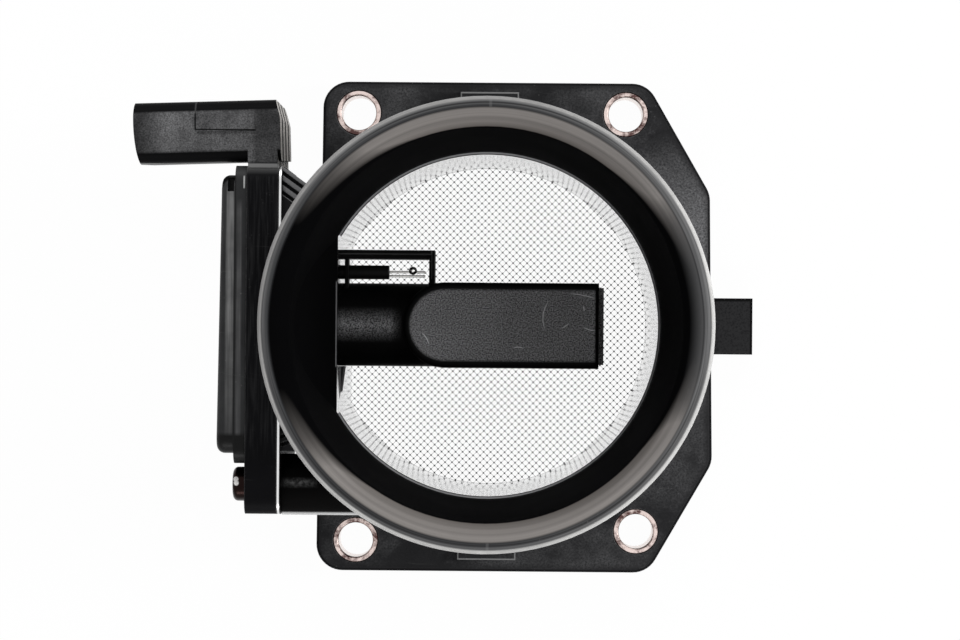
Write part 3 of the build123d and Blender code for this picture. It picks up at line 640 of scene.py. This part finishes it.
# The arm, in mm. A scratch is part of a circle: centre, radius, middle point, half length.
arm = {
    "look": dict(
        satinBlack, colour=(0.0014, 0.0014, 0.0016, 1), patch=grey(0.002), grainDepth=0.04, grainScale=3000.0,
        rough=0.6, scratches=0.0, dust=0.0, specular=0.06, edgeWearHighlightStrength=0.15,
    ),
    "zones": {
        "middle": (("absY", 3.6, 0.0),),         # of the root tube's soft light
        "tube": (("z", 46.0, 47.5), ("x", -16.3, -18.8, 0.0, 0.85)),
        "lip": (("x", 21.45, 21.6), ("absY", 7.6, 7.3)),
        "bar": (("y", 13.5, 13.7, 0.06), ("x", -10.7, -10.9)),       # painted highlight on the steps of the guard's bar and post
        "post": (("x", -10.9, -10.7, 0.06), ("y", 8.6, 9.2)),
    },
    "noseX": -8.0,
    "flatReach": (7.05, 6.5),        # of the flat face from the arm's middle line
    "tubeFall": 1.4,
    "speckle": ((4200.0, 2.0, 0.8), (0.4, 0.6)),
    "broad": ((60.0, 2.0, 0.5), (0.3, 0.7, 0.8, 1.1)),
    "scratchWidth": (0.11, 0.03),
    "scratchFull": 0.5,              # share of its half length on which a scratch is at its full strength
    "scratchShare": 0.8,
    "scratches": (
        ((16.07, 1.43), 5.4, (10.7, 2.0), 3.15),
        ((-14.72, -4.4), 3.66, (-11.6, -2.5), 1.4),
        ((21.1, 4.74), 5.64, (19.6, -0.7), 1.4),
        ((14.99, -11.56), 17.77, (18.3, 5.9), 2.7),
        ((16.75, 3.05), 1.77, (18.5, 3.3), 0.6),
        ((11.25, 5.11), 6.34, (15.0, 0.0), 0.9),
        ((6.03, -6.01), 1.91, (6.0, -4.1), 1.1),
    ),
    "tones": {
        "grain": ((0.028, 0.028, 0.029, 1), (0.4, 0.4, 0.41, 1)), "scratch": (0.9, 0.9, 0.92, 1),
        "lip": (grey(0.02), grey(0.7)), "guard": grey(0.07),
    },
}


# The arm: spark-textured and lightly scratched on its flat face, whose grey grain is partly a painted sheen, a
# painted soft light along the root tube, black elsewhere
def armMaterial():
    material, tree, shader, colour, rough = blackPlastic("armPlastic", arm["look"])
    at = axisPlace(tree)
    zone = zoneMasks(tree, at, arm["zones"])
    tones = arm["tones"]
    up = placeGroup(tree, "up", Low=0.86, High=0.995)["Mask"]
    speckle = patchy(tree, arm["speckle"])
    # The speckled grain in grey: on the up-facing flat face it is partly a painted sheen
    grain = mixColour(tree, speckle, *tones["grain"])
    for centre, size, middle, reach in arm["scratches"]:
        off = mathNode(tree, "ABSOLUTE", mathNode(tree, "SUBTRACT", flatDistance(tree, at, centre), size * mm))
        near = ramp(tree, flatDistance(tree, at, middle), reach, reach * arm["scratchFull"])
        line = ramp(tree, off, *arm["scratchWidth"])
        grain = lay(tree, grain, tones["scratch"], line, near, arm["scratchShare"])
    beyond = mathNode(tree, "MAXIMUM", mathNode(tree, "SUBTRACT", arm["noseX"] * mm, at["x"]), 0.0)
    flat = ramp(tree, hypotenuse(tree, beyond, at["y"]), *arm["flatReach"])
    flat = times(tree, flat, up, patchy(tree, arm["broad"]))
    shine = times(tree, mathNode(tree, "POWER", zone["middle"], arm["tubeFall"]), zone["tube"])
    colour = lay(tree, colour, grain, mathNode(tree, "MAXIMUM", flat, shine))
    # Painted light: the cover's lip, in the shade under the arm's end, is painted a light speckled grey
    colour = lay(tree, colour, mixColour(tree, speckle, *tones["lip"]), zone["lip"], up)
    # Painted highlight along the steps of the guard's bar and post
    colour = lay(tree, colour, tones["guard"], mathNode(tree, "MAXIMUM", zone["bar"], zone["post"]), up)
    return finishPlastic(material, tree, shader, colour, rough)


# The case and its connector, in mm
case = {
    "look": dict(
        satinBlack, colour=(0.003, 0.003, 0.0035, 1), patch=(0.007, 0.007, 0.008, 1), specular=0.03, coatRough=0.28,
        dust=0.08, scratches=0.1, edgeWearHighlightStrength=1.6, edgeWearHighlightColour=grey(0.24),
    ),
    "zones": {
        "ends": (("x", -44.5, -43.5, 1.0, 0.55), ("x", -66.0, -60.0, 0.3, 1.0)),     # of the connector's front
        "plug": (("y", 30.0, 30.6),),
        "drawn": (("y", -26.0, -20.0),),
        "level": (("y", 36.3, 36.5, 0.08), ("x", -55.15, -43.8, 0.1)),       # the step across the connector's front
        "upright": (("x", -55.25, -55.05, 0.08), ("y", 36.4, 42.0, 0.1)),
        "stepFront": (("z", 55.0, 56.0),),
        "stepTop": (("y", 39.3, 39.6),),
        "edgeHighlightLine": (("y", 29.4, 30.0, 0.15),),
        "below": (("y", 28.0, 29.6, 0.0, 0.3), ("y", 30.2, 30.1)),
        "edgeFront": (("z", 55.5, 57.0),),
        "ribs": (("y", 30.0, 30.6), ("x", -42.5, -41.5)),        # at the connector's root
    },
    "ribStart": 46.0,
    "ribPitch": 7.0,
    "ribSide": (0.8, 0.95),          # X of the normal
    "ribRange": (0.4, -0.1, 0.0, 0.9),
    "wallCoat": 0.3,
    "streaks": (2600.0, 120.0, 120.0),
    "streakRange": (0.45, 0.7, 0.0, 0.28),
    "shares": {"step": 0.9, "edge": 0.8},
    "speckle": ((3200.0, 3.0, 0.8), (0.36, 0.66, 0.3, 1.0)),
    "patch": ((110.0, 3.0, 0.65), (0.34, 0.62, 0.45, 1.0)),
    "tones": {
        "plug": (0.0015, 0.0015, 0.0018, 1), "frontSpeckle": (0.2, 0.2, 0.205, 1), "drawn": (0.05, 0.05, 0.052, 1),
        "step": (grey(0.001), grey(0.045)), "edge": grey(0.27), "rib": (0.42, 0.4, 0.375, 1),
    },
}


# The case is nearly black, and its connector's up-facing front face is speckled grey in patches, weaker towards both
# ends. The ribs' painted reflection is cos(2 pi (z - ribStart) / ribPitch) on the faces that look along X.
def caseMaterial():
    material, tree, shader, colour, rough = blackPlastic("casePlastic", case["look"])
    at = axisPlace(tree)
    zone = zoneMasks(tree, at, case["zones"])
    tones, shares = case["tones"], case["shares"]
    up = placeGroup(tree, "up", Low=0.93, High=0.99)["Mask"]
    speckledFront = times(tree, patchy(tree, case["speckle"]), patchy(tree, case["patch"]), zone["ends"])
    colour = lay(tree, colour, tones["plug"], zone["plug"])
    colour = lay(tree, colour, tones["frontSpeckle"], zone["plug"], up, speckledFront)
    drawn = rangeNode(tree, drawnStreaks(tree, case["streaks"]), *case["streakRange"])
    colour = lay(tree, colour, tones["drawn"], drawn, zone["drawn"], up, oneLess(tree, zone["plug"]))
    step = mathNode(tree, "MAXIMUM", zone["level"], zone["upright"])
    stepTone = mixColour(tree, zone["stepTop"], *tones["step"])
    colour = lay(tree, colour, stepTone, step, zone["stepFront"], shares["step"])
    # Painted highlight: a bright line along the edge where the connector meets the case, fading away from it
    edge = mathNode(tree, "MAXIMUM", times(tree, zone["edgeHighlightLine"], shares["edge"]), zone["below"])
    colour = lay(tree, colour, tones["edge"], edge, zone["edgeFront"])
    link(tree, times(tree, placeGroup(tree, "wall")["Mask"], case["wallCoat"]), shader.inputs["Coat Weight"])
    height = mathNode(tree, "SUBTRACT", at["z"], case["ribStart"] * mm)
    ribs = mathNode(tree, "COSINE", times(tree, height, 2 * math.pi / (case["ribPitch"] * mm)))
    side = rangeNode(tree, normalParts(tree)[0], *case["ribSide"])
    # Painted reflection on the ribs' sides at the connector's root
    colour = lay(tree, colour, tones["rib"], side, zone["ribs"], rangeNode(tree, ribs, *case["ribRange"]))
    return finishPlastic(material, tree, shader, colour, rough)


# The cover on the case, in mm
cover = {
    "look": dict(
        satinBlack, patch=(0.036, 0.037, 0.038, 1), specular=0.12, coatRough=0.28, rough=0.45, grainDepth=0.03,
        scratches=0.2,
    ),
    "zones": {
        "lowEnd": (("y", -20.4, -21.2),),
        "outer": (("x", -48.9, -47.8, 0.4), ("y", -26.0, 23.0, 0.1, 1.0)),
        "inner": (("x", -46.9, -46.4, 0.35), ("y", 23.5, 21.5)),
        "nick": (("x", -45.9, -45.7, 0.08), ("y", 25.6, 27.6, 0.3)),
        "pocket": (("y", 24.7, 27.6, 0.05), ("z", 58.8, 58.5), ("z", 56.0, 56.2)),
        "joint": (("x", -47.6, -47.35, 0.1),),
    },
    "wallCoat": (0.3, 0.1),          # of the walls, and at the low end
    "speckledPatches": ((130.0, 3.0, 0.6), (0.3, 0.7, 0.4, 1.0)),
    "streaks": (3000.0, 90.0, 90.0),
    "streakRange": (0.35, 0.65, 0.65, 1.2),
    "shares": {"inner": 0.7, "joint": 0.8},
    "tones": {
        "outer": grey(0.26), "inner": (0.12, 0.12, 0.122, 1), "nick": grey(0.5), "pocket": grey(0.001),
        "lowEnd": grey(0.002), "joint": grey(0.004),
    },
}


# The cover's outer tier has a light speckled band along its side, and its second tier a darker one
def coverMaterial():
    material, tree, shader, colour, rough = blackPlastic("coverPlastic", cover["look"])
    at = axisPlace(tree)
    zone = zoneMasks(tree, at, cover["zones"])
    tones, shares = cover["tones"], cover["shares"]
    wallCoat = rangeNode(tree, zone["lowEnd"], 0.0, 1.0, *cover["wallCoat"])
    link(tree, times(tree, placeGroup(tree, "wall")["Mask"], wallCoat), shader.inputs["Coat Weight"])
    up = placeGroup(tree, "up", Low=0.9, High=0.98)["Mask"]
    streaks = rangeNode(tree, drawnStreaks(tree, cover["streaks"]), *cover["streakRange"])
    speckledPatches = times(tree, patchy(tree, cover["speckledPatches"]), streaks)
    colour = lay(tree, colour, tones["outer"], zone["outer"], up, speckledPatches)
    colour = lay(tree, colour, tones["inner"], zone["inner"], up, speckledPatches, shares["inner"])
    colour = lay(tree, colour, tones["nick"], zone["nick"], up)
    colour = lay(tree, colour, tones["pocket"], zone["pocket"])
    colour = lay(tree, colour, tones["lowEnd"], zone["lowEnd"])
    colour = lay(tree, colour, tones["joint"], zone["joint"], up, shares["joint"])
    return finishPlastic(material, tree, shader, colour, rough)


# Metals: grain, tarnish in patches and brighter edges, from wear and painted highlight. Lengths in mm.
metals = {
    "screwMetal": {
        "colour": (0.016, 0.009, 0.008, 1), "tarnish": (0.005, 0.003, 0.003, 1), "edgeWearHighlightColour": (0.4, 0.36, 0.35, 1),
        "edgeWearHighlightStrength": 1.5, "rough": 0.2, "grainScale": 1500.0, "grainDepth": 0.01,
        "glints": ((-47.3, -29.5), (-47.2, -30.2)), "glintReach": 0.55, "glintColour": (1.0, 0.98, 0.96, 1),
    },
    "plateMetal": {
        "colour": grey(0.86), "tarnish": grey(0.72), "edgeWearHighlightColour": grey(0.95),
        "edgeWearHighlightStrength": 1.0, "rough": 0.25, "grainScale": 2200.0, "grainDepth": 0.008,
        "brightBand": (-39.12, -38.82, 0.1), "shadeOutsideBand": grey(0.02),
    },
    "wireMetal": {
        "colour": grey(0.03), "tarnish": grey(0.015), "edgeWearHighlightColour": grey(0.2),
        "edgeWearHighlightStrength": 0.0, "rough": 0.35, "grainScale": 3000.0, "grainDepth": 0.002,
    },
    "terminalMetal": {
        "colour": (0.78, 0.74, 0.64, 1), "tarnish": (0.6, 0.55, 0.45, 1), "edgeWearHighlightColour": (0.9, 0.88, 0.8, 1),
        "edgeWearHighlightStrength": 1.0, "rough": 0.25, "grainScale": 2500.0, "grainDepth": 0.004,
    },
}


# What all metals share, and the looks of thin bright wire and glass
metalBase = {"coarse": 0.4, "breakup": 0.3, "roughSpread": 0.12, "glintFull": 0.6}
thinLook = {"grainScale": 3000.0, "grainDepth": 0.003, "rough": (0.2, 0.35)}


# A metal. A glint is a painted highlight, a white spot that isn't metal, and outside a bright band the metal is
# painted dark as shade.
def metal(name, look):
    material, tree, shader = newMaterial(name, Metallic=1.0)
    grain = placeGroup(tree, "grain", Scale=look["grainScale"], Coarse=metalBase["coarse"])
    edge = placeGroup(tree, "edge", Breakup=metalBase["breakup"], Strength=look["edgeWearHighlightStrength"])
    colour = mixColour(tree, grain["Patches"], look["colour"], look["tarnish"])
    # Brighter edges: wear, and a painted highlight on the rounded edges
    colour = lay(tree, colour, look["edgeWearHighlightColour"], edge["Mask"])
    at = axisPlace(tree)
    if "glints" in look:
        bare, reach = [], look["glintReach"]
        for point in look["glints"]:
            spot = ramp(tree, flatDistance(tree, at, point), reach, reach * metalBase["glintFull"])
            colour = lay(tree, colour, look["glintColour"], spot)
            bare.append(oneLess(tree, spot))
        link(tree, times(tree, *bare), shader.inputs["Metallic"])
    if "brightBand" in look:
        # Painted shade: outside the bright band the plate is painted dark
        colour = lay(tree, look["shadeOutsideBand"], colour, band(tree, at["x"], *look["brightBand"]))
    rough = rangeNode(tree, grain["Patches"], 0, 1, look["rough"], look["rough"] + metalBase["roughSpread"])
    fill(tree, shader, {"Base Color": colour, "Roughness": rough})
    addBump(tree, shader, grain["Height"], look["grainDepth"], edge)
    return material


# Painted reflection: bright where it looks up and painted dark at its sides, as thin shiny wire and glass look on a
# white ground
def thinShine(name, bright, dark, low, high):
    material, tree, shader = newMaterial(name, Metallic=1.0)
    grain = placeGroup(tree, "grain", Scale=thinLook["grainScale"], Coarse=metalBase["coarse"])
    colour = mixColour(tree, placeGroup(tree, "up", Low=low, High=high)["Mask"], dark, bright)
    rough = rangeNode(tree, grain["Patches"], 0, 1, *thinLook["rough"])
    fill(tree, shader, {"Base Color": colour, "Roughness": rough})
    addBump(tree, shader, grain["Height"], thinLook["grainDepth"])
    return material


# The flange bushings, in mm; near is the distance from the nearest one's axis
bushings = {
    "places": ((-27.1, 44.0), (28.2, 44.0), (-27.1, -44.5), (30.9, -42.3)),
    "zones": {
        "ring": (("near", 3.7, 4.46, 0.08),),
        "bore": (("near", 3.66, 3.6), ("z", 6.8, 6.5)),
        "face": (("z", 6.5, 6.8),),
    },
    "broad": ((30.0, 2.0, 0.5), (0.35, 0.6, -0.06, 0.06)),
    "blotch": (320.0, 4.0, 0.7),
    "blotchRange": (0.4, 0.54),
    "grainScale": 1800.0,
    "grainDepth": 0.02,
    "rough": (0.3, 0.45),
    "dark": (0.11, 0.06, 0.056, 1), "light": (0.8, 0.67, 0.63, 1), "line": (0.006, 0.004, 0.004, 1),
    "bore": (0.9, 0.83, 0.8, 1),
}


# Copper pink, tarnished in blotches, with a bright bore and a dark line at both edges of the ring
def bushingMaterial():
    material, tree, shader = newMaterial("bushingMetal", Metallic=1.0)
    at = axisPlace(tree)
    at["near"] = chain(tree, "MINIMUM", [flatDistance(tree, at, point) for point in bushings["places"]])
    zone = zoneMasks(tree, at, bushings["zones"])
    grain = placeGroup(tree, "grain", Scale=bushings["grainScale"], Coarse=metalBase["coarse"])
    blotch = noiseNode(tree, objectPlace(tree), *bushings["blotch"])
    blotch = mathNode(tree, "ADD", blotch, patchy(tree, bushings["broad"]))
    blotch = rangeNode(tree, blotch, *bushings["blotchRange"])
    colour = mixColour(tree, blotch, bushings["dark"], bushings["light"])
    colour = lay(tree, colour, bushings["bore"], zone["bore"])
    colour = lay(tree, colour, bushings["line"], oneLess(tree, zone["ring"]), zone["face"])
    rough = rangeNode(tree, grain["Patches"], 0, 1, *bushings["rough"])
    fill(tree, shader, {"Base Color": colour, "Roughness": rough})
    addBump(tree, shader, grain["Height"], bushings["grainDepth"])
    return material


# Coated or fired surfaces: board lacquer, ceramic, rubber. Two colours in patches, rough to rough + 0.1.
def coated(name, first, second, rough, scale, depth, specular=0.5):
    material, tree, shader = newMaterial(name, Specular_IOR_Level=specular)
    grain = placeGroup(tree, "grain", Scale=scale, Coarse=0.5)
    colour = mixColour(tree, grain["Patches"], first, second)
    gloss = rangeNode(tree, grain["Patches"], 0, 1, rough, rough + 0.1)
    fill(tree, shader, {"Base Color": colour, "Roughness": gloss})
    addBump(tree, shader, grain["Height"], depth)
    return material


plainLook = dict(
    satinBlack, rough=0.5, specular=0.08, colour=(0.004, 0.004, 0.0045, 1), patch=grey(0.008), dust=0.1,
)
made = {name: metal(name, look) for name, look in metals.items()}
made.update({
    "bushingMetal": bushingMaterial(),
    "bodyPlastic": bodyMaterial(),
    "armPlastic": armMaterial(),
    "casePlastic": caseMaterial(),
    "coverPlastic": coverMaterial(),
    "plainBlack": finishPlastic(*blackPlastic("plainBlack", plainLook)),
    "boardLacquer": coated("boardLacquer", (0.02, 0.1, 0.045, 1), (0.03, 0.13, 0.06, 1), 0.3, 1200.0, 0.01),
    "chipMould": coated("chipMould", grey(0.012), grey(0.02), 0.5, 2600.0, 0.02),
    "sealRubber": coated("sealRubber", grey(0.012), grey(0.022), 0.55, 1500.0, 0.02, 0.35),
    "elementCeramic": coated("elementCeramic", (0.8, 0.78, 0.72, 1), (0.7, 0.67, 0.6, 1), 0.3, 2500.0, 0.008),
    "beadGlass": thinShine("beadGlass", (0.92, 0.91, 0.9, 1), grey(0.004), 0.5, 0.75),
    "leadMetal": thinShine("leadMetal", (0.8, 0.79, 0.77, 1), grey(0.01), 0.6, 0.9),
})
wearers = {
    "bodyPlastic": ["main_body", "screen_retaining_ring"],
    "armPlastic": ["bypass_arm", "bypass_cover"],
    "plainBlack": ["sensor_carrier", "air_temp_stem"],
    "casePlastic": ["module_case"],
    "coverPlastic": ["module_cover"],
    "plateMetal": ["base_plate"],
    "boardLacquer": ["circuit_board"],
    "chipMould": ["board_chips"],
    "sealRubber": ["carrier_o_ring"],
    "elementCeramic": ["hot_element", "cold_element"],
    "leadMetal": ["element_posts", "thermistor_leads"],
    "beadGlass": ["thermistor_bead"],
    "bushingMetal": [n for n in nodes if n.startswith("flange_bushing")],
    "screwMetal": [n for n in nodes if n.startswith("module_screw")],
    "terminalMetal": [n for n in nodes if n.startswith("connector_terminal")],
}
for materialName, nodeNames in wearers.items():
    for nodeName in nodeNames:
        if nodeName in nodes:
            slots = nodes[nodeName].data.materials
            slots.clear()
            slots.append(made[materialName])
print("materials ready:", len(made))


# A closed mesh piece from whole arrays of points (mm) and faces
def addPiece(name, points, faces, material, smooth=True):
    mesh = bpy.data.meshes.new(name)
    mesh.from_pydata((points * mm).tolist(), [], [face for block in faces for face in block.tolist()])
    mesh.validate()
    mesh.polygons.foreach_set("use_smooth", np.full(len(mesh.polygons), smooth))
    mesh.materials.append(material)
    piece = bpy.data.objects.new(name, mesh)
    scene.collection.objects.link(piece)
    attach(piece, "root")
    return piece


# The woven wire screen, mm and degrees
screen = {
    "pitch": 1.03,
    "wireRadius": 0.028,
    "knotRadius": 0.24,          # of a wire where it crosses another
    "knotReach": 0.19,           # half a knot's length, in pitches
    "reach": 34.05,              # the wires end under the retaining ring
    "height": 4.7,
    "turn": 45.0,
    "sides": 6,
    "rimInner": 33.0,
    "rimOuter": 34.1,
    "rimThickness": 0.54,
    "rimSteps": 120,
}


# One family of wires. Along a wire s, its centre is at (s, (k + 1/2) pitch) and its height is the wire's
# radius times cos(pi (s / pitch - 1/2)), turned over on every second wire k; sign turns over the whole family.
# Round the centre runs a circle in the plane across the wire, wider at the middle of each crossing.
def wireFamily(sign, turn):
    pitch, reach, radius, sides = screen["pitch"], screen["reach"], screen["wireRadius"], screen["sides"]
    count = int(reach / pitch)
    k = np.arange(-count, count)
    across = (k + 0.5) * pitch
    half = np.sqrt(reach ** 2 - across ** 2)
    cells = np.arange(-count - 2, count + 2)
    stops = np.array([0.0, 0.5 - screen["knotReach"], 0.5, 0.5 + screen["knotReach"]])
    s = ((cells[:, None] + stops[None, :]) * pitch).ravel()
    width = np.tile([radius, radius, screen["knotRadius"], radius], len(cells))
    along = np.clip(s[None, :], -half[:, None], half[:, None])
    side = sign * np.where(k % 2 == 0, 1.0, -1.0)[:, None]
    phase = np.pi * (along / pitch - 0.5)
    rise = side * radius * np.cos(phase)
    slope = -side * radius * np.pi / pitch * np.sin(phase)
    length = np.sqrt(1 + slope ** 2)
    angle = np.arange(sides) * 2 * np.pi / sides
    up = np.sin(angle)[None, None, :] * width[None, :, None]
    x = along[:, :, None] - up * (slope / length)[:, :, None]
    y = across[:, None, None] + np.cos(angle)[None, None, :] * width[None, :, None] + 0 * x
    z = rise[:, :, None] + up / length[:, :, None] + screen["height"]
    a = math.radians(turn)
    points = np.stack([x * math.cos(a) - y * math.sin(a), x * math.sin(a) + y * math.cos(a), z], axis=-1)
    number = np.arange(x.size).reshape(x.shape)
    here, there = number[:, :-1], number[:, 1:]
    quads = np.stack([here, np.roll(here, -1, 2), np.roll(there, -1, 2), there], axis=-1)
    real = (along[:, 1:] - along[:, :-1]) > 1e-6
    quads = quads[real].reshape(-1, 4)
    first = real.argmax(1)
    last = real.shape[1] - real[:, ::-1].argmax(1)
    wires = np.arange(len(k))
    caps = np.concatenate([number[wires, first][:, ::-1], number[wires, last]])
    return points.reshape(-1, 3), quads, caps


# Drops the points that no face uses, and numbers the rest again
def usedOnly(points, blocks):
    used = np.unique(np.concatenate([b.ravel() for b in blocks]))
    number = np.zeros(len(points), int)
    number[used] = np.arange(len(used))
    return points[used], [number[b] for b in blocks]


# A ring: the profile (radius, height), closed, is carried round the Z axis in equal steps
def ringSurface(profile, steps):
    turn = np.arange(steps) * 2 * np.pi / steps
    r, z = profile[:, 0][None, :], profile[:, 1][None, :]
    points = np.stack([r * np.cos(turn)[:, None], r * np.sin(turn)[:, None], z + 0 * turn[:, None]], axis=-1)
    number = np.arange(points.shape[0] * points.shape[1]).reshape(points.shape[:2])
    ahead = np.roll(number, -1, 0)
    quads = np.stack([number, ahead, np.roll(ahead, -1, 1), np.roll(number, -1, 1)], axis=-1)
    return points.reshape(-1, 3), quads.reshape(-1, 4)


# Two families of wires at right angles, and a square-edged rim round their ends
def weaveScreen():
    total = 0
    for name, sign, turn in (("screen_warp", 1, screen["turn"]), ("screen_weft", -1, screen["turn"] + 90)):
        points, quads, caps = wireFamily(sign, turn)
        points, blocks = usedOnly(points, [quads, caps])
        wires = addPiece(name, points, blocks, made["wireMetal"])
        if name == "screen_warp":
            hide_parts("inlet_screen")
        total += len(quads) * 2
    half = screen["rimThickness"] / 2
    low, high = screen["height"] - half, screen["height"] + half
    inner, outer = screen["rimInner"], screen["rimOuter"]
    profile = np.array([(inner, low), (outer, low), (outer, high), (inner, high)])
    rimPoints, rimQuads = ringSurface(profile, screen["rimSteps"])
    addPiece("screen_rim", rimPoints, [rimQuads], made["wireMetal"], smooth=False)
    return total


print("screen woven:", weaveScreen(), "triangles of wire")
